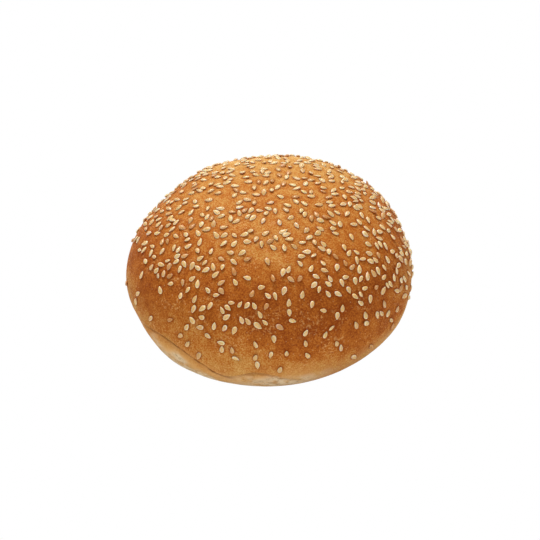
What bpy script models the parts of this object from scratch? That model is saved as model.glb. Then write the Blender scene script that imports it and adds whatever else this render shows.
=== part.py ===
"""Sesame burger bun, uncut, standing on its flat base.

The frame's origin is the centre of the base, +Z is up, and the side at -Y is the front.
Lengths are metres. Azimuths are degrees round +Z from +X, so the front is at -90.
"""

import random
from math import acos, asin, atan2, cos, degrees, exp, pi, radians, sin, sqrt

import bmesh
import bpy
from mathutils import Matrix, Vector, noise

# The turned form: a domed crown above the belly, and a flank that runs in to the base
BELLY_RADIUS = 0.0550
BELLY_HEIGHT = 0.0198
CROWN_HEIGHT = 0.0560
BASE_RADIUS = 0.0420
CROWN_POWER = 2.05  # 2 is an ellipse, and more is fuller at the shoulder
FLANK_POWER = 1.87

# What the oven made uneven
CROWN_LEAN = 0.0030  # of the crown's top, towards +X
OVAL = 0.009  # of the radius
OVAL_AZIMUTH = 32.0
LUMP_SIZE = 0.024
LUMP_HEIGHT = 0.0006
LEVEL_BELOW = 0.008  # the lumps and swellings fade out below this height, so that the base stays flat
# Broad swellings and hollows: azimuth and rise from the belly's middle, reach, all in degrees, and height
SWELLINGS = (
    (148.0, 15.0, 17.0, -0.0013),
    (-156.0, -9.0, 12.0, -0.0010),
    (-133.0, -19.0, 6.0, 0.0006),
    (-118.0, -13.0, 14.0, 0.0007),
    (-20.0, -7.0, 13.0, 0.0009),
    (12.0, 10.0, 12.0, -0.0007),
)

# The browned crust ends in a fold above the pale flank, high at the front left and low at the front right
EDGE_HEIGHT = 0.0142
# Where the edge runs higher or lower: azimuth and reach in degrees, and the rise
EDGE_BENDS = (
    (-130.0, 24.0, 0.0059),
    (-107.0, 7.5, -0.0038),
    (-93.0, 10.0, 0.0020),
    (-48.0, 34.0, -0.0100),
)
EDGE_WAVE = 0.0010
EDGE_WAVES = 7
# Each stretch where the fold is open: its middle azimuth, half its length in degrees, and its depth
FOLDS = ((-127.0, 21.0, 0.0013), (-92.0, 12.0, 0.0007), (70.0, 34.0, 0.0009), (158.0, 18.0, 0.0007))
FOLD_LIP = 0.0026  # how far above the edge the crust swells
FOLD_LIP_SHARE = 0.45  # of the fold's depth: how far it swells
FOLD_GROOVE = 0.0013  # how far below the edge the groove is deepest
FOLD_END = 0.0052  # how far below the edge the groove ends

# Faceting of the body
SEGMENTS = 50
CROWN_RINGS = 12  # from the top to the crust's edge
GROOVE_RINGS = 2
FLANK_RINGS = 3  # the last is the base's rim

# Sesame seeds
SEED_LENGTH = 0.0037  # of which the crust hides the ends
SEED_WIDTH = 0.0020
SEED_THICKNESS = 0.0016  # about half of it is under the crust
SEED_SIDES = 6
SEED_RINGS = 3
SEED_BULGE = 1.15  # fills the seed out, since its few facets cut its corners
SEED_TAPER = 0.32  # narrows the pointed end by this share and widens the round end
SEED_SUNK = 0.12  # of the thickness: how far the seed's middle plane lies under the crust
SEED_SIZE_SPREAD = 0.07
SEED_SWING = 0.85  # radians: how far seeds turn from pointing down the side
SEED_SPACING = 0.0058  # on the crown
SEED_TRIES = 30000
SOWING = 11  # starts the random draw

# Where seeds fall, by the crust's tilt in degrees from level: thick on the crown, thin on the flank
FULL_TILT = 48.0
SHOULDER_TILT = 66.0
SHOULDER_SHARE = 0.45
LAST_TILT = 88.0
LAST_SHARE = 0.16
BARE_TILT = 106.0
SEEDS_LOWER_BY, SEEDS_LOWER_AZIMUTH = 10.0, -10.0  # degrees of tilt that seeds reach lower on this side
CLEAR_OF_EDGE = 0.0035  # height above the crust's edge where seeds reach their full share
# Patches with more or fewer seeds: azimuth, tilt, reach in degrees, and the change
PATCHES = (
    (-163.0, 26.0, 22.0, 0.6),
    (-165.0, 70.0, 19.0, -0.95),
    (-140.0, 46.0, 9.0, 0.6),
    (-133.0, 65.0, 9.0, -0.5),
    (-93.0, 25.0, 10.0, -0.7),
    (-96.0, 50.0, 7.0, 0.5),
    (-75.0, 56.0, 11.0, -0.95),
    (-41.0, 82.0, 13.0, -0.85),
    (-45.0, 42.0, 18.0, 0.4),
    (-16.0, 68.0, 16.0, 0.9),
    (10.0, 20.0, 14.0, 0.6),
    (14.0, 68.0, 16.0, 0.5),
)

CRUST_COLOUR = (0.56, 0.235, 0.07, 1.0)
CRUST_ROUGHNESS = 0.55
SHARPEST_SMOOTH = 32.0  # degrees between faces that are still shaded as one


def clear_scene():
    for obj in list(bpy.data.objects):
        bpy.data.objects.remove(obj, do_unlink=True)


def smooth_step(low, high, x):
    t = min(1.0, max(0.0, (x - low) / (high - low)))
    return t * t * (3.0 - 2.0 * t)


def azimuth_gap(a, b):
    """The degrees from b to a, from -180 to 180."""
    return (a - b + 180.0) % 360.0 - 180.0


def bell(x, width):
    return exp(-((x / width) ** 2))


def profile(turn):
    """Radius and height of the turned form at a turn: 0 is the top, pi / 2 the belly, pi the base."""
    if turn <= pi / 2:
        bend = 2.0 / CROWN_POWER
        radius = BELLY_RADIUS * sin(turn) ** bend
        height = BELLY_HEIGHT + (CROWN_HEIGHT - BELLY_HEIGHT) * max(0.0, cos(turn)) ** bend
    else:
        bend = 2.0 / FLANK_POWER
        down = turn - pi / 2
        radius = BASE_RADIUS + (BELLY_RADIUS - BASE_RADIUS) * max(0.0, cos(down)) ** bend
        height = BELLY_HEIGHT * (1.0 - min(1.0, sin(down)) ** bend)
    return radius, height


def turn_at_height(height):
    """The turn at which the profile passes a height."""
    if height >= BELLY_HEIGHT:
        share = (height - BELLY_HEIGHT) / (CROWN_HEIGHT - BELLY_HEIGHT)
        return acos(min(1.0, share) ** (CROWN_POWER / 2.0))
    share = (BELLY_HEIGHT - height) / BELLY_HEIGHT
    return pi / 2 + asin(min(1.0, share) ** (FLANK_POWER / 2.0))


def crust_edge(azimuth):
    """Height of the browned crust's lower edge."""
    bend = sum(rise * bell(azimuth_gap(azimuth, middle), reach) for middle, reach, rise in EDGE_BENDS)
    return EDGE_HEIGHT + bend + EDGE_WAVE * sin(radians(azimuth) * EDGE_WAVES)


def fold_depth(azimuth):
    return sum(depth * bell(azimuth_gap(azimuth, middle), half) for middle, half, depth in FOLDS)


def fold_relief(azimuth, height):
    """How far the fold pushes the surface out, or in where negative."""
    above = height - crust_edge(azimuth)
    if above >= 0.0:
        return fold_depth(azimuth) * FOLD_LIP_SHARE * exp(-above / FOLD_LIP)
    sunk = smooth_step(0.0, FOLD_GROOVE, -above)
    filled = smooth_step(FOLD_GROOVE, FOLD_END, -above)
    return fold_depth(azimuth) * (FOLD_LIP_SHARE * (1.0 - sunk) - sunk * (1.0 - filled))


def swelling(outward):
    """How far the broad swellings push the surface out in this direction."""
    total = 0.0
    for azimuth, rise, reach, swell in SWELLINGS:
        middle = Vector((cos(radians(azimuth)), sin(radians(azimuth)), 0.0)) * cos(radians(rise))
        middle.z = sin(radians(rise))
        total += swell * bell(degrees(outward.angle(middle)), reach)
    return total


def surface(azimuth, turn):
    """A point on the bun's crust."""
    radius, height = profile(turn)
    angle = radians(azimuth)
    radius *= 1.0 + OVAL * cos(2.0 * (angle - radians(OVAL_AZIMUTH)))
    radius += fold_relief(azimuth, height)
    point = Vector((radius * cos(angle), radius * sin(angle), height))
    point.x += CROWN_LEAN * (height / CROWN_HEIGHT) ** 2
    outward = Vector((point.x, point.y, height - BELLY_HEIGHT)).normalized()
    lump = noise.noise(point / LUMP_SIZE + Vector((3.7, 1.3, 8.1))) * LUMP_HEIGHT
    return point + outward * (lump + swelling(outward)) * smooth_step(0.0, LEVEL_BELOW, height)


def surface_frame(azimuth, turn):
    """A point on the crust, its normal, the direction down the side, and the area per square radian."""
    step = 0.01
    down = (surface(azimuth, turn + step) - surface(azimuth, turn - step)) / (2.0 * step)
    around = surface(azimuth + degrees(step), turn) - surface(azimuth - degrees(step), turn)
    facing = down.cross(around / (2.0 * step))
    return surface(azimuth, turn), facing.normalized(), down.normalized(), facing.length


def ring_turn(ring, azimuth):
    """The turn of a ring of the mesh. One ring follows the crust's edge, and the next ones the groove."""
    edge = crust_edge(azimuth)
    if ring <= CROWN_RINGS:
        return turn_at_height(edge) * ring / CROWN_RINGS
    if ring <= CROWN_RINGS + GROOVE_RINGS:
        return turn_at_height(edge - FOLD_GROOVE * (ring - CROWN_RINGS))
    below = turn_at_height(edge - FOLD_GROOVE * GROOVE_RINGS)
    return below + (pi - below) * (ring - CROWN_RINGS - GROOVE_RINGS) / FLANK_RINGS


def body_mesh():
    """A sphere's rings and segments, laid on the bun's surface. Its lower pole is the middle of the base."""
    rings = CROWN_RINGS + GROOVE_RINGS + FLANK_RINGS + 1
    bm = bmesh.new()
    bmesh.ops.create_uvsphere(bm, u_segments=SEGMENTS, v_segments=rings, radius=1.0)
    for vertex in bm.verts:
        polar = acos(max(-1.0, min(1.0, vertex.co.z)))
        ring = round(polar / pi * rings)
        azimuth = degrees(atan2(vertex.co.y, vertex.co.x))
        if ring < rings:
            vertex.co = surface(azimuth, ring_turn(ring, azimuth))
        else:
            vertex.co = Vector((0.0, 0.0, 0.0))
    bmesh.ops.recalc_face_normals(bm, faces=bm.faces)
    mesh = bpy.data.meshes.new("bun")
    bm.to_mesh(mesh)
    bm.free()
    return mesh


def seed_mesh():
    """A flat teardrop with its point at +X, its faces up and down."""
    bm = bmesh.new()
    flat_up = Matrix.Rotation(pi / 2, 4, "Y") @ Matrix.Rotation(pi / SEED_SIDES, 4, "Z")
    bmesh.ops.create_uvsphere(bm, u_segments=SEED_SIDES, v_segments=SEED_RINGS, radius=0.5, matrix=flat_up)
    for vertex in bm.verts:
        fullness = SEED_BULGE * (1.0 - SEED_TAPER * 2.0 * vertex.co.x)
        vertex.co.x *= SEED_LENGTH
        vertex.co.y *= SEED_WIDTH * fullness
        vertex.co.z *= SEED_THICKNESS * fullness
    mesh = bpy.data.meshes.new("seed")
    bm.to_mesh(mesh)
    bm.free()
    return mesh


def seed_share(azimuth, tilt, height):
    """How thickly seeds lie at a place on the crust, as a share of the crown's."""
    lean = tilt - SEEDS_LOWER_BY * cos(radians(azimuth_gap(azimuth, SEEDS_LOWER_AZIMUTH)))
    share = 1.0 - (1.0 - SHOULDER_SHARE) * smooth_step(FULL_TILT, SHOULDER_TILT, lean)
    share -= (SHOULDER_SHARE - LAST_SHARE) * smooth_step(SHOULDER_TILT, LAST_TILT, lean)
    share -= LAST_SHARE * smooth_step(LAST_TILT, BARE_TILT, lean)
    share *= smooth_step(0.0, CLEAR_OF_EDGE, height - crust_edge(azimuth))
    for patch_azimuth, patch_tilt, reach, change in PATCHES:
        sideways = azimuth_gap(azimuth, patch_azimuth) * sin(radians(tilt))
        share *= 1.0 + change * bell(sideways, reach) * bell(tilt - patch_tilt, reach)
    return share


def sow(draw):
    """A matrix for each seed. Seeds fall evenly over the crust and keep apart, further where they are few."""
    places = []
    for _ in range(SEED_TRIES):
        azimuth = draw.uniform(-180.0, 180.0)
        turn = draw.uniform(0.02, 0.75 * pi)
        falls_even = draw.random() * BELLY_RADIUS**2
        heading = draw.gauss(0.0, SEED_SWING) + draw.choice((0.0, pi))
        size = 1.0 + draw.gauss(0.0, SEED_SIZE_SPREAD)
        point, normal, down, area = surface_frame(azimuth, turn)
        share = seed_share(azimuth, degrees(acos(normal.z)), point.z)
        if falls_even > area or share <= 0.01:
            continue
        spacing = SEED_SPACING / sqrt(share)
        if any((point - place.translation).length < spacing for place in places):
            continue
        along = down * cos(heading) + normal.cross(down) * sin(heading)
        turned = Matrix((along, normal.cross(along), normal)).transposed().to_4x4()
        middle = point - normal * SEED_SUNK * SEED_THICKNESS
        places.append(Matrix.Translation(middle) @ turned @ Matrix.Scale(size, 4))
    return places


def make_seeds(collection):
    shape = seed_mesh()
    for place in sow(random.Random(SOWING)):
        seed = bpy.data.objects.new("seed", shape)
        seed.matrix_world = place
        collection.objects.link(seed)


def crust_material():
    material = bpy.data.materials.new("crust")
    material.use_nodes = True
    shader = material.node_tree.nodes["Principled BSDF"]
    shader.inputs["Base Color"].default_value = CRUST_COLOUR
    shader.inputs["Roughness"].default_value = CRUST_ROUGHNESS
    shader.inputs["Metallic"].default_value = 0.0
    return material


def fuse(body, collection):
    """Joins the collection's objects into the body for good, and removes them."""
    join = body.modifiers.new("seeds", "BOOLEAN")
    join.operation = "UNION"
    join.operand_type = "COLLECTION"
    join.collection = collection
    join.solver = "EXACT"
    graph = bpy.context.evaluated_depsgraph_get()
    joined = bpy.data.meshes.new_from_object(body.evaluated_get(graph))
    body.modifiers.clear()
    body.data = joined
    for obj in list(collection.objects):
        bpy.data.objects.remove(obj, do_unlink=True)
    bpy.data.collections.remove(collection)


def main():
    clear_scene()
    bun = bpy.data.collections.new("sesame burger bun")
    sown = bpy.data.collections.new("seeds to fuse")
    bpy.context.scene.collection.children.link(bun)
    bpy.context.scene.collection.children.link(sown)
    body = bpy.data.objects.new("bun", body_mesh())
    bun.objects.link(body)
    make_seeds(sown)
    fuse(body, sown)
    body.data.materials.clear()
    body.data.materials.append(crust_material())
    body.data.shade_smooth()
    body.data.set_sharp_from_angle(angle=radians(SHARPEST_SMOOTH))


main()
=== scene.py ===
"""Looks of the sesame burger bun: a finer crust, its sesame seeds, the light and the camera.

The form follows part.py's rule with the same named sizes, on a finer mesh, and gets the crust's relief.
Lengths are metres. Azimuths are degrees round +Z from +X, so the shown side is at -90. A tilt is how many
degrees the crust leans from level: 0 on top, 90 at the side and 180 underneath.
"""

import random
from math import cos, degrees, pi, radians, sin, sqrt

import bpy
import numpy as np
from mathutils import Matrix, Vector, noise
from mathutils.kdtree import KDTree


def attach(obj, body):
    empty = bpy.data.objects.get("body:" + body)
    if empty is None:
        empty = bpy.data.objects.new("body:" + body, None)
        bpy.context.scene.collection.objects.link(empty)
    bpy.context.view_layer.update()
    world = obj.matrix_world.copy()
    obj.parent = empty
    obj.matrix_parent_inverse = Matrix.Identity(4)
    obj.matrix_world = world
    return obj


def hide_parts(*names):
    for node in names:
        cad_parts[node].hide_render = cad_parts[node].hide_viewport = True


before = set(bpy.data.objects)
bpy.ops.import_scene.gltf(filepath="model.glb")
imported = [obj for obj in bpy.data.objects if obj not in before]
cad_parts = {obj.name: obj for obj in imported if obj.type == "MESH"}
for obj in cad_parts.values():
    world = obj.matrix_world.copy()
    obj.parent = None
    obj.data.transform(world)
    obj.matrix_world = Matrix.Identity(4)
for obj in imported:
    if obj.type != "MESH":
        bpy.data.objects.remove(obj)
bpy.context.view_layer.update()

# The turned form: a domed crown above the belly, and a flank that runs in to the base
BELLY_RADIUS = 0.0550
BELLY_HEIGHT = 0.0198
CROWN_HEIGHT = 0.0560
BASE_RADIUS = 0.0420
CROWN_POWER = 2.05  # 2 is an ellipse, and more is fuller at the shoulder
FLANK_POWER = 1.87

# What the oven made uneven
CROWN_LEAN = 0.0030  # of the crown's top, towards +X
OVAL = 0.009  # of the radius
OVAL_AZIMUTH = 32.0
LUMP_SIZE = 0.024
LUMP_HEIGHT = 0.0006
LEVEL_BELOW = 0.008  # lumps and swellings fade out below this height, so that the base stays flat
# Broad swellings and hollows: azimuth and rise from the belly's middle, reach, all in degrees, and height
SWELLINGS = (
    (148.0, 15.0, 17.0, -0.0013),
    (-156.0, -9.0, 12.0, -0.0010),
    (-133.0, -19.0, 6.0, 0.0006),
    (-118.0, -13.0, 14.0, 0.0007),
    (-20.0, -7.0, 13.0, 0.0009),
    (12.0, 10.0, 12.0, -0.0007),
)

# The browned crust ends in a fold above the pale flank
EDGE_HEIGHT = 0.0142
# Where its edge runs higher or lower: azimuth and reach in degrees, and the rise
EDGE_BENDS = (
    (-130.0, 24.0, 0.0059),
    (-107.0, 7.5, -0.0038),
    (-93.0, 10.0, 0.0020),
    (-48.0, 34.0, -0.0100),
)
EDGE_WAVE = 0.0010
EDGE_WAVES = 7
# Each stretch where the fold is open: its middle azimuth, half its length in degrees, and its depth
FOLDS = ((-127.0, 21.0, 0.0013), (-92.0, 12.0, 0.0007), (70.0, 34.0, 0.0009), (158.0, 18.0, 0.0007))
FOLD_LIP = 0.0026  # how far above the edge the crust swells
FOLD_LIP_SHARE = 0.45  # of the fold's depth: how far it swells
FOLD_GROOVE = 0.0013  # how far below the edge the groove is deepest
FOLD_END = 0.0052  # how far below the edge the groove ends

# The solid's seeds, which come first and lie evenly
SEED_THICKNESS = 0.0016
SEED_SUNK = 0.12  # of the thickness: how far the seed's middle plane lies under the crust
SEED_SIZE_SPREAD = 0.07
SEED_SWING = 0.85  # radians: how far seeds turn from pointing down the side
SEED_SPACING = 0.0058  # on the crown
SEED_TRIES = 30000
SOWING = 11  # starts the random draw
SOWN_FROM, SOWN_TO = 0.02, 0.75 * pi  # the turns between which seeds are tried
LEAST_SHARE = 0.01

# Where seeds fall, by the crust's tilt: thick on the crown, thin on the flank
FULL_TILT = 48.0
SHOULDER_TILT = 66.0
SHOULDER_SHARE = 0.45
LAST_TILT = 88.0
LAST_SHARE = 0.16
BARE_TILT = 106.0
SEEDS_LOWER_BY, SEEDS_LOWER_AZIMUTH = 10.0, -10.0  # degrees of tilt that seeds reach lower on this side
CLEAR_OF_EDGE = 0.0035  # height above the crust's edge where seeds reach their full share
# Patches with more or fewer seeds: azimuth, tilt, reach in degrees, and the change
PATCHES = (
    (-163.0, 26.0, 22.0, 0.6),
    (-165.0, 70.0, 19.0, -0.95),
    (-140.0, 46.0, 9.0, 0.6),
    (-133.0, 65.0, 9.0, -0.5),
    (-93.0, 25.0, 10.0, -0.7),
    (-96.0, 50.0, 7.0, 0.5),
    (-75.0, 56.0, 11.0, -0.95),
    (-41.0, 82.0, 13.0, -0.85),
    (-45.0, 42.0, 18.0, 0.4),
    (-16.0, 68.0, 16.0, 0.9),
    (10.0, 20.0, 14.0, 0.6),
    (14.0, 68.0, 16.0, 0.5),
)

# The seeds between them, which make up the real number and may touch
MORE_SEEDS = 425
MORE_TRIES = 30000
MORE_SOWING = 5
THICKEST_SHARE = 1.6  # a larger share than this brings no more of them
MORE_APART = 0.0016  # between any two of the three spots that stand for each seed
SPOTS_AT = 0.0009  # how far the outer spots lie from a seed's middle
# Patches of their own, as above
MORE_PATCHES = (
    (-178.0, 44.0, 15.0, 0.6),
    (-165.0, 68.0, 11.0, -0.8),
    (-166.0, 50.0, 8.0, -0.4),
    (-10.0, 66.0, 12.0, 0.7),
    (8.0, 46.0, 14.0, 0.4),
)

# A seed's true size and form
SHOWN_LENGTH = 0.00300
SHOWN_WIDTH = 0.00168
SHOWN_THICKNESS = 0.00102
SHOWN_RAISED = 0.00022  # how far the middle plane lies above the crust
SHOWN_LEAN = 0.16  # how far seeds tip from lying flat
SHOWN_SPREAD = (0.05, 0.06, 0.08)  # of the length, width and thickness
SHOWN_RINGS = 9
SHOWN_SIDES = 14
SHOWN_FLATNESS = 2.5  # 2 is an ellipse across the seed, and more is flatter
SHOWN_POINT, SHOWN_ROUND = 0.88, 0.56  # how slim the pointed end and the round end are
SHOWN_THINNING = 0.8  # the power by which the thickness follows the width towards the ends
LOW_FROM, LOW_TO = 0.35, -0.2  # where the painted shade on its underside starts and is full, in half thicknesses
# How toasted seeds are, from 0 to 1: the share of the seeds up to here, and their range
TOASTING = ((0.82, 0.0, 0.25), (0.95, 0.3, 0.6), (1.0, 0.7, 0.9))
TOAST_DRAW = 23

# The crust's mesh
SEGMENTS = 360
CROWN_RINGS = 180
FLANK_RINGS = 60
BASE_RINGS = 12
RING_CROWDING = 1.35  # above 1 the rings crowd at the crust's edge
TOP_TURN = 0.0001  # of the topmost point
LAST_FACING_TURN = pi - 0.02  # past this turn, at the base's rim, the normals stay the same
# Lumps that are too small for the solid: size and height
SMALL_LUMPS = ((0.0055, 0.00010), (0.0022, 0.00005))

# How far each kind of noise is shifted, so that no two are alike
LUMP_SHIFT = (3.7, 1.3, 8.1)
SMALL_LUMP_SHIFT = (1.0, 5.0, 2.0)
PATCHY_SHIFT = (2.0, 7.0, 4.0)
WANDER_SHIFT = (9.0, 3.0, 1.0)
RAGGED_SHIFT = (4.0, 8.0, 3.0)
UNEVEN_SHIFT = (5.0, 2.0, 6.0)

# How brown the crust is by its tilt, and places where it is browner or lighter than that
BROWN_TOP = 0.56
BROWN_SHOULDER, SHOULDER_FROM, SHOULDER_TO = 0.26, 10.0, 55.0
BROWN_FLANK, FLANK_TO = -0.36, 96.0
BROWN_PATCHY, PATCHY_SIZE = 0.09, 0.016
# azimuth, tilt, reach round and reach down in degrees, and the change
BROWN_PLACES = (
    (-62.0, 66.0, 30.0, 18.0, 0.14),
    (-120.0, 63.0, 20.0, 14.0, -0.19),
    (-42.0, 89.0, 32.0, 13.0, 0.26),
    (-67.0, 92.0, 9.0, 13.0, -0.05),
    (-16.0, 101.0, 14.0, 12.0, -0.24),
    (-5.0, 70.0, 25.0, 20.0, -0.14),
    # This row lightens the far side of the crown: painted sheen and light
    (90.0, 40.0, 60.0, 25.0, -0.50),
)
# Painted shade beside each seed: the crust is darker up to the first distance from its middle,
# fading to nothing over the second, both in half lengths and half widths of a seed
NEAR_FROM, NEAR_FADES = 0.9, 0.9

# A noise of this size moves the limits of the pale tones up and down by this height
WANDER_SIZE, WANDER_HEIGHT = 0.006, 0.0012
# The pale band under the fold: where it starts, by height above the crust's edge, and how deep it is
BAND_STARTS, BAND_FULL = -0.0002, -0.0010
BAND_DEPTH, BAND_WANDER = 0.011, 0.18
# It grows paler and floury on its way down, by shares of its depth
BAND_TOP_SHARE, BAND_PALER_FROM, BAND_PALER_TO = 0.5, 0.1, 0.7
BAND_FLOUR, BAND_FLOUR_FROM, BAND_FLOUR_TO, BAND_FLOUR_WANDER = 0.85, 0.42, 0.8, 0.35
# Its golden left end, and the shares of the paleness and flour that are lost there
GOLDEN_AZIMUTH, GOLDEN_REACH, GOLDEN_SHARE, GOLDEN_FLOUR_SHARE = -154.0, 14.0, 0.6, 0.9
# The crust fades all round towards its edge, from the first height above it to the second,
# partly as less browned crust and partly as painted sheen where it turns away
FADE_AND_SHEEN_SHARE, FADE_AND_SHEEN_FROM, FADE_AND_SHEEN_TO = 0.34, 0.009, -0.005
FADE_AND_SHEEN_TILT_FROM, FADE_AND_SHEEN_TILT_TO = 70.0, 100.0
# The soft edge round the floury spot by the base, and the spot, by height
SOFT_EDGE_AZIMUTH, SOFT_EDGE_REACH, SOFT_EDGE_SHARE = -81.0, 15.0, 0.58
SOFT_EDGE_FROM, SOFT_EDGE_TO = 0.0215, 0.0120
FLOUR_AZIMUTH, FLOUR_REACH, FLOUR_SHARE = -85.0, 17.0, 0.9
FLOUR_FROM, FLOUR_TO = 0.0145, 0.0100
# The paler flank on the right, by its tilt: partly paler crust with flour, partly painted sheen
SOFT_FLANK_AZIMUTH, SOFT_FLANK_REACH, SOFT_FLANK_SHARE = -18.0, 40.0, 0.50
SOFT_FLANK_FROM, SOFT_FLANK_TO, SOFT_FLANK_FLOUR = 92.0, 116.0, 0.4
# The base is evenly pale, and the flank's tones end by these tilts
BASE_PALE, BASE_FLOUR = 0.5, 0.25
FLANK_ENDS, BASE_BEGINS = 150.0, 176.0

# Painted shade in the crease under the fold's lip, by height above the crust's edge
CREASE_OPEN = 0.0008  # a fold as deep as this has its full crease
CREASE_STARTS, CREASE_FULL, CREASE_LEAVES, CREASE_ENDS = 0.0001, -0.0005, -0.0020, -0.0030
CREASE_AZIMUTH, CREASE_REACH = -124.0, 21.0  # where it is darkest
CREASE_ELSEWHERE = 0.40
CREASE_RAGGED, CREASE_RAGGED_SIZE = 0.0007, 0.0028
CREASE_UNEVEN, CREASE_UNEVEN_SIZE = 0.22, 0.0045
CREASE_UNEVEN_FROM, CREASE_UNEVEN_TO = -0.1, 0.4
CREASE_BREAKS = ((-103.0, 3.0, 0.85), (-86.0, 4.0, 0.8), (-140.0, 3.0, 0.4))  # azimuth, reach, share lost
# A painted highlight along the lip above it
LIP_HEIGHT, LIP_REACH, LIP_HIGHLIGHT = 0.0007, 0.0007, 0.5
LIP_AZIMUTH, LIP_AROUND = -116.0, 11.0
# Painted shade along the rim just above the base, where the crust turns under: by the crust's tilt, and where
# it shows
RIM_FROM, RIM_TO = 126.0, 134.0
RIM_AZIMUTH, RIM_REACH, RIM_SHADE_SHARE = -66.0, 14.0, 0.4

# Colours as they are on screen, 0 to 255. The crust's go by how brown it is, from 0 to 1
CRUST_COLOURS = ((0.0, (228, 188, 122)), (0.35, (203, 149, 77)), (0.65, (182, 103, 34)), (1.0, (140, 65, 17)))
PALE_CRUST = (224, 171, 102)
FLOUR = (235, 215, 178)
SCUFF = (226, 172, 108)
SPECK = (236, 188, 132)
SHADE_BESIDE_SEEDS = (132, 56, 6)
CREASE_SHADE = (106, 42, 2)
WRINKLE = (138, 92, 52)
# The seeds' go by each one's own tone
SEED_COLOURS = ((0.0, (250, 246, 226)), (0.07, (249, 240, 201)), (1.0, (239, 222, 173)))
INSIDE_RIM = (222, 178, 102)
TOASTED = (188, 122, 54)
SEED_STREAK = (200, 154, 90)
SEED_UNDERSIDE_SHADE = (186, 110, 40)
FLOOR_COLOUR = (236, 236, 236)

# The crust's patterns: their sizes, how much of them shows, and the noise where they start and are full
NOISE_RANGE = (0.3, 0.7)  # nearly all of a noise lies within it
MOTTLE_SIZE, MOTTLE_SHARE = 0.0040, 0.10
GRAIN_SIZE, GRAIN_SHARE = 0.00055, 0.19
PORE_SIZE, PORE_SHARE, PORE_RANGE = 0.0012, 0.17, (0.30, 0.08)
SCUFF_SIZE, SCUFF_GRAIN_SIZE, SCUFF_SHARE, SCUFF_RANGE = 0.0075, 0.0011, 0.45, (0.50, 0.66)
SPECK_SIZE, SPECK_SHARE, SPECK_RANGE = 0.0017, 0.4, (0.20, 0.06)
SHADE_BESIDE_SEEDS_SHARE = 0.64
# The mottling thins the pale tones and the flour: its range, and their shares at its low and high end
PALE_RANGE, PALE_SHARES = (0.35, 0.6), (0.5, 1.0)
DUSTY_RANGE, DUSTY_SHARES = (0.35, 0.55), (0.25, 0.9)
# The wrinkles in the flour
WRINKLE_SIZE, WRINKLE_SHARE = 0.0050, 0.5
WRINKLE_SQUEEZE = 3.0  # how many times as long as high they are
WRINKLE_REACH = 0.030  # how far from the middle of the noise they end
WRINKLE_FLOUR = (0.2, 0.8)  # they come in as the crust gets this floury
# Relief: its height and its strength
GRAIN_RELIEF, MOTTLE_RELIEF, WRINKLE_RELIEF = (0.00017, 0.85), (0.0003, 0.4), (-0.0003, 0.6)
ROUGHNESS_BY_GRAIN, CRUST_SPECULAR = (0.75, 0.6), 0.06

# The seeds' patterns, and the light that glows through them
INSIDE_RIM_RANGE, INSIDE_RIM_SHARE = (0.90, 0.55), 0.8
STREAK_SIZE, STREAK_SHARE, STREAK_RANGE = 0.0008, 0.2, (0.35, 0.75)
UNDERSIDE_SHADE_SHARE = 0.85
GLOW_SHARE, GLOW_DEPTH, GLOW_RADIUS = 0.35, 0.0006, (1.0, 0.6, 0.25)
SEED_ROUGHNESS, SEED_SPECULAR = 0.36, 0.45

# The light
KEY_PLACE, KEY_SIZE, KEY_POWER = (-0.20, 0.80, 1.05), 0.35, 15.0
FILL_PLACE, FILL_SIZE, FILL_POWER = (0.2, -1.3, 0.9), 1.2, 8.5
SKY_STRENGTH = 0.45
LIGHT_AIM = (0.0, 0.0, 0.03)
WHITE = (1.0, 1.0, 1.0, 1.0)
FLOOR_SIDE = 6.0

# The camera, as fitted to the photo's outline
CAMERA_ELEVATION = 40.0
CAMERA_DISTANCE = 0.80
CAMERA_FOCAL = 2071.0  # in pixels of the photo
PHOTO_SIDE = 540.0
SENSOR_WIDTH = 36.0
CAMERA_TARGET = (0.0, 0.0, 0.025)
CAMERA_AIM_RIGHT = 0.0007
CAMERA_AIM_UP = -0.00417


def linear(colour):
    """A shader colour from the three values, 0 to 255, that it has on screen."""
    shares = (value / 255.0 for value in colour)
    return (*(s / 12.92 if s <= 0.04045 else ((s + 0.055) / 1.055) ** 2.4 for s in shares), 1.0)


def smooth_step(low, high, x):
    """0 at low and 1 at high, with a smooth start and end."""
    t = np.clip((x - low) / (high - low), 0.0, 1.0)
    return t * t * (3.0 - 2.0 * t)


def azimuth_gap(a, b):
    return (a - b + 180.0) % 360.0 - 180.0


def bell(x, width):
    return np.exp(-((x / width) ** 2))


def near_azimuth(azimuth, middle, reach):
    """1 at the middle azimuth, falling to nothing on both sides of it."""
    return bell(azimuth_gap(azimuth, middle), reach)


def unit(vectors):
    return vectors / np.maximum(np.linalg.norm(vectors, axis=-1, keepdims=True), 1e-12)


def noise_at(points, size, shift):
    """Smooth noise, about -1 to 1, at each point."""
    return np.array([noise.noise(Vector(p)) for p in points / size + np.array(shift)])


def profile(turn):
    """Radius and height of the turned form at each turn: 0 is the top, pi / 2 the belly, pi the base."""
    down = np.clip(turn - pi / 2, 0.0, pi / 2)
    crown_radius = BELLY_RADIUS * np.abs(np.sin(turn)) ** (2.0 / CROWN_POWER)
    crown_rise = np.maximum(np.cos(turn), 0.0) ** (2.0 / CROWN_POWER)
    flank_share = np.maximum(np.cos(down), 0.0) ** (2.0 / FLANK_POWER)
    flank_radius = BASE_RADIUS + (BELLY_RADIUS - BASE_RADIUS) * flank_share
    flank_fall = np.sin(down) ** (2.0 / FLANK_POWER)
    crown = turn <= pi / 2
    radius = np.where(crown, crown_radius, flank_radius)
    height = np.where(
        crown, BELLY_HEIGHT + (CROWN_HEIGHT - BELLY_HEIGHT) * crown_rise, BELLY_HEIGHT * (1.0 - flank_fall)
    )
    return radius, height


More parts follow.
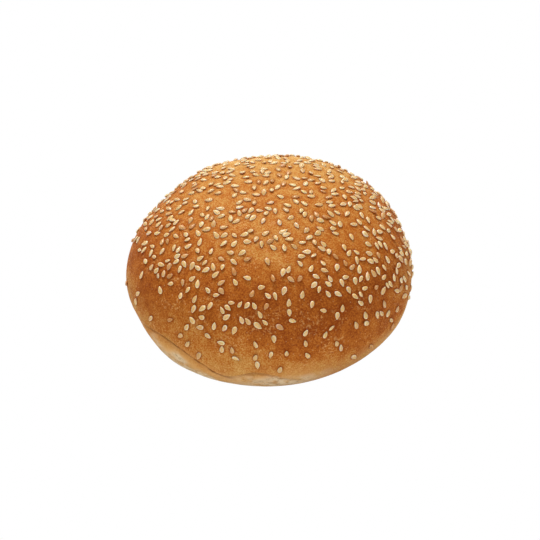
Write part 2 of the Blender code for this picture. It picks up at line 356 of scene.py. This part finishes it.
def turn_at_height(height):
    above = np.clip((height - BELLY_HEIGHT) / (CROWN_HEIGHT - BELLY_HEIGHT), 0.0, 1.0)
    below = np.clip((BELLY_HEIGHT - height) / BELLY_HEIGHT, 0.0, 1.0)
    crown = np.arccos(above ** (CROWN_POWER / 2.0))
    flank = pi / 2 + np.arcsin(below ** (FLANK_POWER / 2.0))
    return np.where(height >= BELLY_HEIGHT, crown, flank)


def crust_edge(azimuth):
    """Height of the browned crust's lower edge."""
    bend = sum(rise * near_azimuth(azimuth, middle, reach) for middle, reach, rise in EDGE_BENDS)
    return EDGE_HEIGHT + bend + EDGE_WAVE * np.sin(np.radians(azimuth) * EDGE_WAVES)


def fold_depth(azimuth):
    return sum(depth * near_azimuth(azimuth, middle, half) for middle, half, depth in FOLDS)


def fold_relief(azimuth, height):
    """How far the fold's lip stands out, and how far the groove under it goes in."""
    above = height - crust_edge(azimuth)
    sunk = smooth_step(0.0, FOLD_GROOVE, -above)
    filled = smooth_step(FOLD_GROOVE, FOLD_END, -above)
    lip = FOLD_LIP_SHARE * np.exp(-np.maximum(above, 0.0) / FOLD_LIP)
    groove = FOLD_LIP_SHARE * (1.0 - sunk) - sunk * (1.0 - filled)
    return fold_depth(azimuth) * np.where(above >= 0.0, lip, groove)


def swelling(outward):
    """How far the broad swellings and hollows move the crust, by its direction from the belly's middle."""
    total = 0.0
    for azimuth, rise, reach, swell in SWELLINGS:
        across, up = cos(radians(rise)), sin(radians(rise))
        middle = np.array((cos(radians(azimuth)) * across, sin(radians(azimuth)) * across, up))
        total = total + swell * bell(np.degrees(np.arccos(np.clip(outward @ middle, -1.0, 1.0))), reach)
    return total


def surface(azimuth, turn):
    """The bun's crust, as one point for each azimuth and turn."""
    radius, height = profile(turn)
    angle = np.radians(azimuth)
    radius = radius * (1.0 + OVAL * np.cos(2.0 * (angle - radians(OVAL_AZIMUTH))))
    radius = radius + fold_relief(azimuth, height)
    x = radius * np.cos(angle) + CROWN_LEAN * (height / CROWN_HEIGHT) ** 2
    points = np.stack((x, radius * np.sin(angle), height), axis=-1)
    outward = unit(points - np.array((0.0, 0.0, BELLY_HEIGHT)))
    lump = noise_at(points, LUMP_SIZE, LUMP_SHIFT) * LUMP_HEIGHT + swelling(outward)
    return points + outward * (lump * smooth_step(0.0, LEVEL_BELOW, height))[:, None]


def surface_frame(azimuth, turn):
    """Points on the crust, their normals, the directions down the side, and the areas per square radian."""
    step = 0.01
    down = (surface(azimuth, turn + step) - surface(azimuth, turn - step)) / (2.0 * step)
    around = surface(azimuth + degrees(step), turn) - surface(azimuth - degrees(step), turn)
    facing = np.cross(down, around / (2.0 * step))
    return surface(azimuth, turn), unit(facing), unit(down), np.linalg.norm(facing, axis=-1)


def tilt_of(normals):
    return np.degrees(np.arccos(np.clip(normals[:, 2], -1.0, 1.0)))


def patchiness(azimuth, tilt, patches):
    """Above 1 where the patches bring more seeds, and below 1 where they bring fewer."""
    factor = 1.0
    for patch_azimuth, patch_tilt, reach, change in patches:
        sideways = azimuth_gap(azimuth, patch_azimuth) * np.sin(np.radians(tilt))
        factor = factor * (1.0 + change * bell(sideways, reach) * bell(tilt - patch_tilt, reach))
    return factor


def seed_share(azimuth, tilt, height):
    """How thickly seeds lie at each place on the crust, as a share of the crown's."""
    lean = tilt - SEEDS_LOWER_BY * np.cos(np.radians(azimuth_gap(azimuth, SEEDS_LOWER_AZIMUTH)))
    share = 1.0 - (1.0 - SHOULDER_SHARE) * smooth_step(FULL_TILT, SHOULDER_TILT, lean)
    share -= (SHOULDER_SHARE - LAST_SHARE) * smooth_step(SHOULDER_TILT, LAST_TILT, lean)
    share -= LAST_SHARE * smooth_step(LAST_TILT, BARE_TILT, lean)
    share *= smooth_step(0.0, CLEAR_OF_EDGE, height - crust_edge(azimuth))
    return share * patchiness(azimuth, tilt, PATCHES)


def sow_evenly():
    """The solid's seeds: for each its place, its direction, the crust's normal there, and its size."""
    draw = random.Random(SOWING)
    tries = []
    for _ in range(SEED_TRIES):
        azimuth = draw.uniform(-180.0, 180.0)
        turn = draw.uniform(SOWN_FROM, SOWN_TO)
        falls_even = draw.random() * BELLY_RADIUS**2
        heading = draw.gauss(0.0, SEED_SWING) + draw.choice((0.0, pi))
        tries.append((azimuth, turn, falls_even, heading, 1.0 + draw.gauss(0.0, SEED_SIZE_SPREAD)))
    azimuth, turn, falls_even, heading, size = np.array(tries).T
    points, normals, down, area = surface_frame(azimuth, turn)
    share = seed_share(azimuth, tilt_of(normals), points[:, 2])
    seeds = []
    middles = np.empty((0, 3))
    for i in np.flatnonzero((falls_even <= area) & (share > LEAST_SHARE)):
        spacing = SEED_SPACING / sqrt(share[i])
        if len(middles) and np.linalg.norm(middles - points[i], axis=1).min() < spacing:
            continue
        along = down[i] * cos(heading[i]) + np.cross(normals[i], down[i]) * sin(heading[i])
        seeds.append((points[i], along, normals[i], size[i]))
        middles = np.vstack((middles, points[i] - normals[i] * SEED_SUNK * SEED_THICKNESS))
    return seeds


def seed_spots(middle, along):
    """Three points along a seed."""
    return np.stack((middle - along * SPOTS_AT, middle, middle + along * SPOTS_AT))


def sow_more(seeds):
    """Adds seeds between the solid's, up to the real number."""
    draw = random.Random(MORE_SOWING)
    tries = []
    for _ in range(MORE_TRIES):
        azimuth = draw.uniform(-180.0, 180.0)
        turn = draw.uniform(SOWN_FROM, SOWN_TO)
        falls_even = draw.random() * BELLY_RADIUS**2
        falls_thick = draw.random() * THICKEST_SHARE
        heading = draw.gauss(0.0, SEED_SWING) + draw.choice((0.0, pi))
        size = 1.0 + draw.gauss(0.0, SEED_SIZE_SPREAD)
        tries.append((azimuth, turn, falls_even, falls_thick, heading, size))
    azimuth, turn, falls_even, falls_thick, heading, size = np.array(tries).T
    points, normals, down, area = surface_frame(azimuth, turn)
    tilt = tilt_of(normals)
    share = seed_share(azimuth, tilt, points[:, 2]) * patchiness(azimuth, tilt, MORE_PATCHES)
    taken = np.concatenate([seed_spots(seed[0], seed[1]) for seed in seeds])
    wanted = len(seeds) + MORE_SEEDS
    for i in np.flatnonzero((falls_even <= area) & (falls_thick <= share)):
        if len(seeds) == wanted:
            break
        along = down[i] * cos(heading[i]) + np.cross(normals[i], down[i]) * sin(heading[i])
        spots = seed_spots(points[i], along)
        if np.linalg.norm(taken[:, None] - spots, axis=2).min() < MORE_APART:
            continue
        seeds.append((points[i], along, normals[i], size[i]))
        taken = np.concatenate((taken, spots))
    return seeds


def make_mesh(name, points, faces, attributes):
    """An object with smooth faces and one number at each point for each attribute."""
    mesh = bpy.data.meshes.new(name)
    mesh.from_pydata(points.tolist(), [], faces)
    for attribute, values in attributes.items():
        layer = mesh.attributes.new(attribute, "FLOAT", "POINT")
        layer.data.foreach_set("value", np.asarray(values, dtype=np.float32))
    mesh.shade_smooth()
    obj = bpy.data.objects.new(name, mesh)
    bpy.context.scene.collection.objects.link(obj)
    return obj


def ring_faces(rings, segments):
    """Faces of a closed form: its rings of points, then the point before the first ring and the last."""
    faces = []
    start, end = rings * segments, rings * segments + 1
    last = (rings - 1) * segments
    for i in range(segments):
        j = (i + 1) % segments
        faces.append((start, i, j))
        faces.append((end, last + j, last + i))
        for first in range(0, last, segments):
            faces.append((first + i, first + segments + i, first + segments + j, first + j))
    return faces


def crust_grid():
    """Azimuths and turns of the crust's rings, from the top to the base's rim."""
    azimuths = -180.0 + 360.0 * np.arange(SEGMENTS) / SEGMENTS
    edge = turn_at_height(crust_edge(azimuths))
    over = 1.0 - (1.0 - np.arange(1, CROWN_RINGS + 1) / CROWN_RINGS) ** RING_CROWDING
    under = (np.arange(1, FLANK_RINGS + 1) / FLANK_RINGS) ** RING_CROWDING
    turns = np.concatenate((np.outer(over, edge), edge + np.outer(under, pi - edge)))
    return np.tile(azimuths, len(turns)), turns.ravel()


def nearness_to_seeds(points, seeds):
    """Painted shade round the seeds: 1 beside a seed, falling to 0 about a millimetre outside its rim."""
    tree = KDTree(len(seeds))
    for i, seed in enumerate(seeds):
        tree.insert(Vector(seed[0]), i)
    tree.balance()
    near = np.zeros(len(points))
    for n, point in enumerate(points):
        for _, i, _ in tree.find_range(Vector(point), SHOWN_LENGTH):
            middle, along, normal, _ = seeds[i]
            gap = point - middle
            lengthwise = gap @ along / (0.5 * SHOWN_LENGTH)
            crosswise = gap @ np.cross(normal, along) / (0.5 * SHOWN_WIDTH)
            out = sqrt(lengthwise**2 + crosswise**2)
            near[n] = max(near[n], 1.0 - min(1.0, max(0.0, (out - NEAR_FROM) / NEAR_FADES)))
    return near


def browning_at(points, azimuth, tilt):
    """How brown the crust is at each point, from 0 to 1."""
    browning = BROWN_TOP + BROWN_SHOULDER * smooth_step(SHOULDER_FROM, SHOULDER_TO, tilt)
    browning += BROWN_FLANK * smooth_step(SHOULDER_TO, FLANK_TO, tilt)
    for place_azimuth, place_tilt, reach_round, reach_down, change in BROWN_PLACES:
        nearness = near_azimuth(azimuth, place_azimuth, reach_round) * bell(tilt - place_tilt, reach_down)
        browning += change * nearness
    return browning + BROWN_PATCHY * noise_at(points, PATCHY_SIZE, PATCHY_SHIFT)


def fold_openness(azimuth):
    """1 where the fold is deep enough for its full band and crease, and 0 where it is shut."""
    return np.clip(fold_depth(azimuth) / CREASE_OPEN, 0.0, 1.0)


def pale_and_flour_at(points, azimuth, tilt):
    """How pale and how floury the crust and the flank are above the base, with painted sheen and highlight in
    the paleness.
    """
    height = points[:, 2]
    above = height - crust_edge(azimuth)
    wander = noise_at(points, WANDER_SIZE, WANDER_SHIFT)
    lifted = WANDER_HEIGHT * wander
    below = np.clip(-above / BAND_DEPTH + BAND_WANDER * wander, 0.0, 1.0)
    golden = near_azimuth(azimuth, GOLDEN_AZIMUTH, GOLDEN_REACH)

    band = smooth_step(BAND_STARTS, BAND_FULL, above) * fold_openness(azimuth)
    band *= BAND_TOP_SHARE + (1.0 - BAND_TOP_SHARE) * smooth_step(BAND_PALER_FROM, BAND_PALER_TO, below)
    band *= 1.0 - GOLDEN_SHARE * golden
    # Paler towards the edge: partly less browned crust, partly painted sheen
    fade_and_sheen = FADE_AND_SHEEN_SHARE * smooth_step(FADE_AND_SHEEN_FROM, FADE_AND_SHEEN_TO, above + lifted)
    fade_and_sheen *= smooth_step(FADE_AND_SHEEN_TILT_FROM, FADE_AND_SHEEN_TILT_TO, tilt)
    soft_edge = SOFT_EDGE_SHARE * near_azimuth(azimuth, SOFT_EDGE_AZIMUTH, SOFT_EDGE_REACH)
    soft_edge *= smooth_step(SOFT_EDGE_FROM, SOFT_EDGE_TO, height + lifted)
    # Paler right flank: partly lighter crust and flour, partly painted sheen
    pale_flank_and_sheen = SOFT_FLANK_SHARE * near_azimuth(azimuth, SOFT_FLANK_AZIMUTH, SOFT_FLANK_REACH)
    pale_flank_and_sheen *= smooth_step(SOFT_FLANK_FROM, SOFT_FLANK_TO, tilt)
    # Painted highlight along the fold's lip
    lip = LIP_HIGHLIGHT * near_azimuth(azimuth, LIP_AZIMUTH, LIP_AROUND) * bell(above - LIP_HEIGHT, LIP_REACH)

    spot = FLOUR_SHARE * near_azimuth(azimuth, FLOUR_AZIMUTH, FLOUR_REACH)
    spot *= smooth_step(FLOUR_FROM, FLOUR_TO, height + lifted)
    dust = smooth_step(BAND_FLOUR_FROM, BAND_FLOUR_TO, below + BAND_FLOUR_WANDER * wander)
    band_flour = BAND_FLOUR * fold_openness(azimuth) * dust * (1.0 - GOLDEN_FLOUR_SHARE * golden)
    pale = np.maximum.reduce((band, lip, fade_and_sheen, soft_edge, pale_flank_and_sheen))
    return pale, np.maximum.reduce((spot, band_flour, SOFT_FLANK_FLOUR * pale_flank_and_sheen))


def crease_at(points, azimuth):
    """How much painted shade lies in the crease under the fold at each point."""
    ragged = CREASE_RAGGED * noise_at(points, CREASE_RAGGED_SIZE, RAGGED_SHIFT)
    above = points[:, 2] - crust_edge(azimuth) + ragged
    crease_shade = smooth_step(CREASE_STARTS, CREASE_FULL, above) * smooth_step(CREASE_ENDS, CREASE_LEAVES, above)
    darkest = near_azimuth(azimuth, CREASE_AZIMUTH, CREASE_REACH)
    crease_shade *= fold_openness(azimuth) * (CREASE_ELSEWHERE + (1.0 - CREASE_ELSEWHERE) * darkest)
    uneven = noise_at(points, CREASE_UNEVEN_SIZE, UNEVEN_SHIFT)
    crease_shade *= 1.0 - CREASE_UNEVEN * smooth_step(CREASE_UNEVEN_FROM, CREASE_UNEVEN_TO, uneven)
    for middle, reach, lost in CREASE_BREAKS:
        crease_shade *= 1.0 - lost * near_azimuth(azimuth, middle, reach)
    return crease_shade


def crust_tones(points, azimuth, tilt):
    """How brown, pale and floury the crust is, and the painted shade in its crease and above the base."""
    flank = smooth_step(BASE_BEGINS, FLANK_ENDS, tilt)
    pale, flour = pale_and_flour_at(points, azimuth, tilt)
    # Painted shade along the rim above the base
    rim = RIM_SHADE_SHARE * near_azimuth(azimuth, RIM_AZIMUTH, RIM_REACH) * smooth_step(RIM_FROM, RIM_TO, tilt)
    return {
        "browning": browning_at(points, azimuth, tilt),
        "pale": pale * flank + BASE_PALE * (1.0 - flank),
        "flour": flour * flank + BASE_FLOUR * (1.0 - flank),
        "crease_shade": np.maximum(crease_at(points, azimuth), rim * flank),
    }


def make_crust(seeds):
    azimuth, turn = crust_grid()
    points = surface(azimuth, turn)
    _, normals, _, _ = surface_frame(azimuth, np.minimum(turn, LAST_FACING_TURN))
    lumps = sum(noise_at(points, size, SMALL_LUMP_SHIFT) * height for size, height in SMALL_LUMPS)
    points = points + normals * (lumps * smooth_step(0.0, LEVEL_BELOW, points[:, 2]))[:, None]
    points[-SEGMENTS:, 2] = 0.0

    base = [points[-SEGMENTS:] * share for share in np.linspace(1.0, 0.0, BASE_RINGS + 1)[1:-1]]
    poles = np.array((surface(np.zeros(1), np.full(1, TOP_TURN))[0], (0.0, 0.0, 0.0)))
    rings = CROWN_RINGS + FLANK_RINGS + len(base)
    points = np.concatenate((points, *base, poles))
    azimuth = np.concatenate((azimuth, np.tile(azimuth[:SEGMENTS], len(base)), (0.0, 0.0)))
    tilt = np.concatenate((tilt_of(normals), np.full(SEGMENTS * len(base), 180.0), (0.0, 180.0)))

    tones = crust_tones(points, azimuth, tilt)
    tones["near_seed"] = nearness_to_seeds(points, seeds)
    crust = make_mesh("crust", points, ring_faces(rings, SEGMENTS), tones)
    crust.data.materials.append(crust_material())
    return crust


def seed_form():
    """Points of one seed with its point at +x and its faces up and down, and how near each is to its rim."""
    points, rim = [], []
    for ring in range(1, SHOWN_RINGS):
        u = cos(pi * ring / SHOWN_RINGS)
        half_width = (1.0 - u) ** SHOWN_POINT * (1.0 + u) ** SHOWN_ROUND
        for side in range(SHOWN_SIDES):
            angle = 2.0 * pi * side / SHOWN_SIDES
            across = abs(cos(angle)) ** (2.0 / SHOWN_FLATNESS) * (1.0 if cos(angle) > 0.0 else -1.0)
            rise = abs(sin(angle)) ** (2.0 / SHOWN_FLATNESS) * (1.0 if sin(angle) > 0.0 else -1.0)
            points.append((u, across * half_width, rise * half_width**SHOWN_THINNING))
            rim.append(max(abs(across), abs(u)))
    points += [(1.0, 0.0, 0.0), (-1.0, 0.0, 0.0)]
    rim += [1.0, 1.0]
    points = np.array(points)
    points /= np.abs(points).max(axis=0) * 2.0
    points *= np.array((SHOWN_LENGTH, SHOWN_WIDTH, SHOWN_THICKNESS))
    return points, ring_faces(SHOWN_RINGS - 1, SHOWN_SIDES), np.array(rim)


def make_seeds(seeds):
    """All seeds as one mesh, each with its own size, lean and toasting."""
    draw = random.Random(TOAST_DRAW)
    form, form_faces, form_rim = seed_form()
    underside_shade = smooth_step(LOW_FROM, LOW_TO, form[:, 2] / (0.5 * SHOWN_THICKNESS))
    points, faces, toast, tone = [], [], [], []
    for middle, along, normal, size in seeds:
        up = unit(normal + np.array([draw.gauss(0.0, SHOWN_LEAN) for _ in range(3)]))
        forward = unit(along - up * (along @ up))
        axes = np.stack((forward, np.cross(up, forward), up))
        stretch = size * np.array([draw.gauss(1.0, spread) for spread in SHOWN_SPREAD])
        first = len(points) * len(form)
        points.append(form * stretch @ axes + middle + normal * SHOWN_RAISED)
        faces += [tuple(first + k for k in face) for face in form_faces]
        kind = draw.random()
        _, least, most = next(row for row in TOASTING if kind <= row[0])
        toast.append(draw.uniform(least, most))
        tone.append(draw.random())
    obj = make_mesh("sesame_seeds", np.concatenate(points), faces, {
        "toast": np.repeat(toast, len(form)),
        "tone": np.repeat(tone, len(form)),
        "rim": np.tile(form_rim, len(seeds)),
        "low": np.tile(underside_shade, len(seeds)),
    })
    obj.data.materials.append(seed_material())
    return obj


class Shader:
    """Builds a material's nodes in few words."""

    def __init__(self, name):
        self.material = bpy.data.materials.new(name)
        self.material.use_nodes = True
        self.tree = self.material.node_tree
        self.principled = self.tree.nodes["Principled BSDF"]
        self.place = self.node("ShaderNodeTexCoord").outputs["Object"]

    def node(self, kind, **settings):
        node = self.tree.nodes.new(kind)
        for name, value in settings.items():
            setattr(node, name, value)
        return node

    def feed(self, socket, value):
        if isinstance(value, bpy.types.NodeSocket):
            self.tree.links.new(value, socket)
        else:
            socket.default_value = value

    def number(self, name):
        """One of the mesh's own numbers."""
        return self.node("ShaderNodeAttribute", attribute_name=name).outputs["Fac"]

    def squeezed(self, share):
        """The place, with heights squeezed together, for marks that are longer than they are high."""
        node = self.node("ShaderNodeVectorMath", operation="MULTIPLY")
        self.feed(node.inputs[0], self.place)
        self.feed(node.inputs[1], (1.0, 1.0, share))
        return node.outputs["Vector"]

    def noise(self, size, detail=3.0, roughness=0.55, place=None):
        """Noise of about this size in metres, 0 to 1."""
        node = self.node("ShaderNodeTexNoise")
        self.feed(node.inputs["Vector"], place or self.place)
        self.feed(node.inputs["Scale"], 1.0 / size)
        self.feed(node.inputs["Detail"], detail)
        self.feed(node.inputs["Roughness"], roughness)
        return node.outputs["Fac"]

    def cells(self, size):
        """Distance from the middle of cells of about this size."""
        node = self.node("ShaderNodeTexVoronoi")
        self.feed(node.inputs["Vector"], self.place)
        self.feed(node.inputs["Scale"], 1.0 / size)
        return node.outputs["Distance"]

    def math(self, operation, a, b):
        node = self.node("ShaderNodeMath", operation=operation)
        self.feed(node.inputs[0], a)
        self.feed(node.inputs[1], b)
        return node.outputs[0]

    def add(self, a, b):
        return self.math("ADD", a, b)

    def times(self, a, b):
        return self.math("MULTIPLY", a, b)

    def ranged(self, value, low, high, to_low=0.0, to_high=1.0):
        """A value from low to high, brought to the other range with a smooth start and end."""
        node = self.node("ShaderNodeMapRange", interpolation_type="SMOOTHSTEP")
        for socket, number in zip(node.inputs, (value, low, high, to_low, to_high)):
            self.feed(socket, number)
        return node.outputs["Result"]

    def tinted(self, colour, share, towards):
        """The colour, mixed by the share towards a colour given as on screen."""
        node = self.node("ShaderNodeMix", data_type="RGBA")
        # The node's colour sockets come after those for numbers and vectors
        from_colour, to_colour = node.inputs[6:8]
        self.feed(node.inputs["Factor"], share)
        self.feed(from_colour, colour)
        self.feed(to_colour, linear(towards))
        return node.outputs[2]

    def ramp(self, value, stops):
        """The colour at this value, from stops that each have a position and a colour as on screen."""
        node = self.node("ShaderNodeValToRGB")
        elements = node.color_ramp.elements
        while len(elements) < len(stops):
            elements.new(0.5)
        for element, (position, colour) in zip(elements, stops):
            element.position = position
            element.color = linear(colour)
        self.feed(node.inputs["Fac"], value)
        return node.outputs["Color"]

    def bump(self, height, distance, strength, normal=None):
        node = self.node("ShaderNodeBump")
        self.feed(node.inputs["Height"], height)
        self.feed(node.inputs["Distance"], distance)
        self.feed(node.inputs["Strength"], strength)
        if normal is not None:
            self.feed(node.inputs["Normal"], normal)
        return node.outputs["Normal"]

    def finish(self, colour, roughness, specular, normal=None):
        self.feed(self.principled.inputs["Base Color"], colour)
        self.feed(self.principled.inputs["Roughness"], roughness)
        self.principled.inputs["Specular IOR Level"].default_value = specular
        if normal is not None:
            self.feed(self.principled.inputs["Normal"], normal)
        return self.material


def browned(shader, mottle, grain):
    """The crust's colour by how brown it is, with mottling, grain and pores."""
    mottling = shader.ranged(mottle, *NOISE_RANGE, -MOTTLE_SHARE, MOTTLE_SHARE)
    baked = shader.add(shader.number("browning"), mottling)
    baked = shader.add(baked, shader.ranged(grain, *NOISE_RANGE, GRAIN_SHARE, -GRAIN_SHARE))
    pores = shader.ranged(shader.cells(PORE_SIZE), *PORE_RANGE)
    baked = shader.add(baked, shader.times(pores, PORE_SHARE))
    return shader.ramp(baked, CRUST_COLOURS)


def scuffed(shader, colour):
    """Adds patches of small pale scuffs, and specks."""
    patches = shader.ranged(shader.noise(SCUFF_SIZE, detail=2.0), *SCUFF_RANGE)
    scuffs = shader.times(patches, shader.ranged(shader.noise(SCUFF_GRAIN_SIZE), *SCUFF_RANGE))
    colour = shader.tinted(colour, shader.times(scuffs, SCUFF_SHARE), SCUFF)
    specks = shader.ranged(shader.cells(SPECK_SIZE), *SPECK_RANGE)
    return shader.tinted(colour, shader.times(specks, SPECK_SHARE), SPECK)


def flour_wrinkles(shader):
    """Thin lines where the crust is floury, along the places where a noise crosses its middle."""
    folds = shader.noise(WRINKLE_SIZE, detail=2.0, place=shader.squeezed(WRINKLE_SQUEEZE))
    off_middle = shader.math("SUBTRACT", folds, 0.5)
    off_middle = shader.math("MAXIMUM", off_middle, shader.times(off_middle, -1.0))
    lines = shader.ranged(off_middle, WRINKLE_REACH, 0.0)
    return shader.times(lines, shader.ranged(shader.number("flour"), *WRINKLE_FLOUR))


def crust_material():
    """Browned crust with fine grain and pores, pale and floury where the mesh says so."""
    shader = Shader("baked crust")
    mottle = shader.noise(MOTTLE_SIZE)
    grain = shader.noise(GRAIN_SIZE, detail=2.5, roughness=0.65)
    wrinkles = flour_wrinkles(shader)
    colour = browned(shader, mottle, grain)
    # The pale tones hold the pale band and flour edge, and also painted sheen and a painted highlight
    pale = shader.times(shader.number("pale"), shader.ranged(mottle, *PALE_RANGE, *PALE_SHARES))
    colour = shader.tinted(colour, pale, PALE_CRUST)
    dusty = shader.times(shader.number("flour"), shader.ranged(mottle, *DUSTY_RANGE, *DUSTY_SHARES))
    colour = shader.tinted(colour, dusty, FLOUR)
    colour = scuffed(shader, colour)
    # Painted shade round each seed
    shade_beside_seeds = shader.times(shader.number("near_seed"), SHADE_BESIDE_SEEDS_SHARE)
    colour = shader.tinted(colour, shade_beside_seeds, SHADE_BESIDE_SEEDS)
    # Painted shade in the crease under the fold's lip and along the rim above the base
    colour = shader.tinted(colour, shader.number("crease_shade"), CREASE_SHADE)
    colour = shader.tinted(colour, shader.times(wrinkles, WRINKLE_SHARE), WRINKLE)
    bump = shader.bump(grain, *GRAIN_RELIEF)
    bump = shader.bump(mottle, *MOTTLE_RELIEF, bump)
    bump = shader.bump(wrinkles, *WRINKLE_RELIEF, bump)
    roughness = shader.ranged(grain, *NOISE_RANGE, *ROUGHNESS_BY_GRAIN)
    return shader.finish(colour, roughness, CRUST_SPECULAR, bump)


def seed_material():
    """Cream seeds, each of its own tone and toasting, with a lighter rim and painted shade on the underside.
    """
    shader = Shader("sesame")
    colour = shader.ramp(shader.number("tone"), SEED_COLOURS)
    # Darker inside the rim: partly the seed's own darker middle and partly painted shade, leaving a lighter
    # rim that is partly a painted glow through the thin edge
    inside = shader.ranged(shader.number("rim"), *INSIDE_RIM_RANGE, 0.0, INSIDE_RIM_SHARE)
    colour = shader.tinted(colour, inside, INSIDE_RIM)
    colour = shader.tinted(colour, shader.number("toast"), TOASTED)
    streaks = shader.ranged(shader.noise(STREAK_SIZE, detail=2.0), *STREAK_RANGE, 0.0, STREAK_SHARE)
    colour = shader.tinted(colour, streaks, SEED_STREAK)
    # Painted shade on each seed's underside, where it meets the crust
    colour = shader.tinted(colour, shader.times(shader.number("low"), UNDERSIDE_SHADE_SHARE), SEED_UNDERSIDE_SHADE)
    shader.principled.inputs["Subsurface Weight"].default_value = GLOW_SHARE
    shader.principled.inputs["Subsurface Radius"].default_value = GLOW_RADIUS
    shader.principled.inputs["Subsurface Scale"].default_value = GLOW_DEPTH
    return shader.finish(colour, SEED_ROUGHNESS, SEED_SPECULAR)


def make_floor():
    """A white floor that shows no shadow, as in the photo, and still throws light back up."""
    bpy.ops.mesh.primitive_plane_add(size=FLOOR_SIDE)
    floor = bpy.context.object
    floor.name = "floor"
    material = bpy.data.materials.new("white sweep")
    material.use_nodes = True
    tree = material.node_tree
    tree.nodes.clear()
    seen = tree.nodes.new("ShaderNodeEmission")
    seen.inputs["Color"].default_value = WHITE
    lit = tree.nodes.new("ShaderNodeBsdfDiffuse")
    lit.inputs["Color"].default_value = linear(FLOOR_COLOUR)
    path = tree.nodes.new("ShaderNodeLightPath")
    mix = tree.nodes.new("ShaderNodeMixShader")
    output = tree.nodes.new("ShaderNodeOutputMaterial")
    tree.links.new(path.outputs["Is Camera Ray"], mix.inputs["Fac"])
    tree.links.new(lit.outputs[0], mix.inputs[1])
    tree.links.new(seen.outputs[0], mix.inputs[2])
    tree.links.new(mix.outputs[0], output.inputs["Surface"])
    floor.data.materials.append(material)


def add_light(name, place, size, power):
    data = bpy.data.lights.new(name, "AREA")
    data.shape = "DISK"
    data.size = size
    data.energy = power
    light = bpy.data.objects.new(name, data)
    light.location = place
    light.rotation_euler = (Vector(LIGHT_AIM) - Vector(place)).to_track_quat("-Z", "Y").to_euler()
    bpy.context.scene.collection.objects.link(light)


def make_light():
    add_light("key", KEY_PLACE, KEY_SIZE, KEY_POWER)
    add_light("fill", FILL_PLACE, FILL_SIZE, FILL_POWER)
    world = bpy.data.worlds.new("studio")
    world.use_nodes = True
    background = world.node_tree.nodes["Background"]
    background.inputs["Color"].default_value = WHITE
    background.inputs["Strength"].default_value = SKY_STRENGTH
    bpy.context.scene.world = world
    bpy.context.scene.view_settings.view_transform = "Standard"


def make_camera():
    rise = radians(CAMERA_ELEVATION)
    up = Vector((0.0, sin(rise), cos(rise)))
    back = Vector((0.0, -cos(rise), sin(rise)))
    aim = Vector(CAMERA_TARGET) + up * CAMERA_AIM_UP + Vector((CAMERA_AIM_RIGHT, 0.0, 0.0))
    data = bpy.data.cameras.new("camera")
    data.sensor_width = SENSOR_WIDTH
    data.lens = CAMERA_FOCAL / PHOTO_SIDE * SENSOR_WIDTH
    camera = bpy.data.objects.new("camera", data)
    camera.location = aim + back * CAMERA_DISTANCE
    camera.rotation_euler = (radians(90.0 - CAMERA_ELEVATION), 0.0, 0.0)
    bpy.context.scene.collection.objects.link(camera)
    bpy.context.scene.camera = camera


all_seeds = sow_more(sow_evenly())
crust = make_crust(all_seeds)
sesame_seeds = make_seeds(all_seeds)
for piece, slot in ((crust, "crust"), (sesame_seeds, "sesame")):
    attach(piece, "root")
    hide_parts("bun")
make_floor()
make_light()
make_camera()
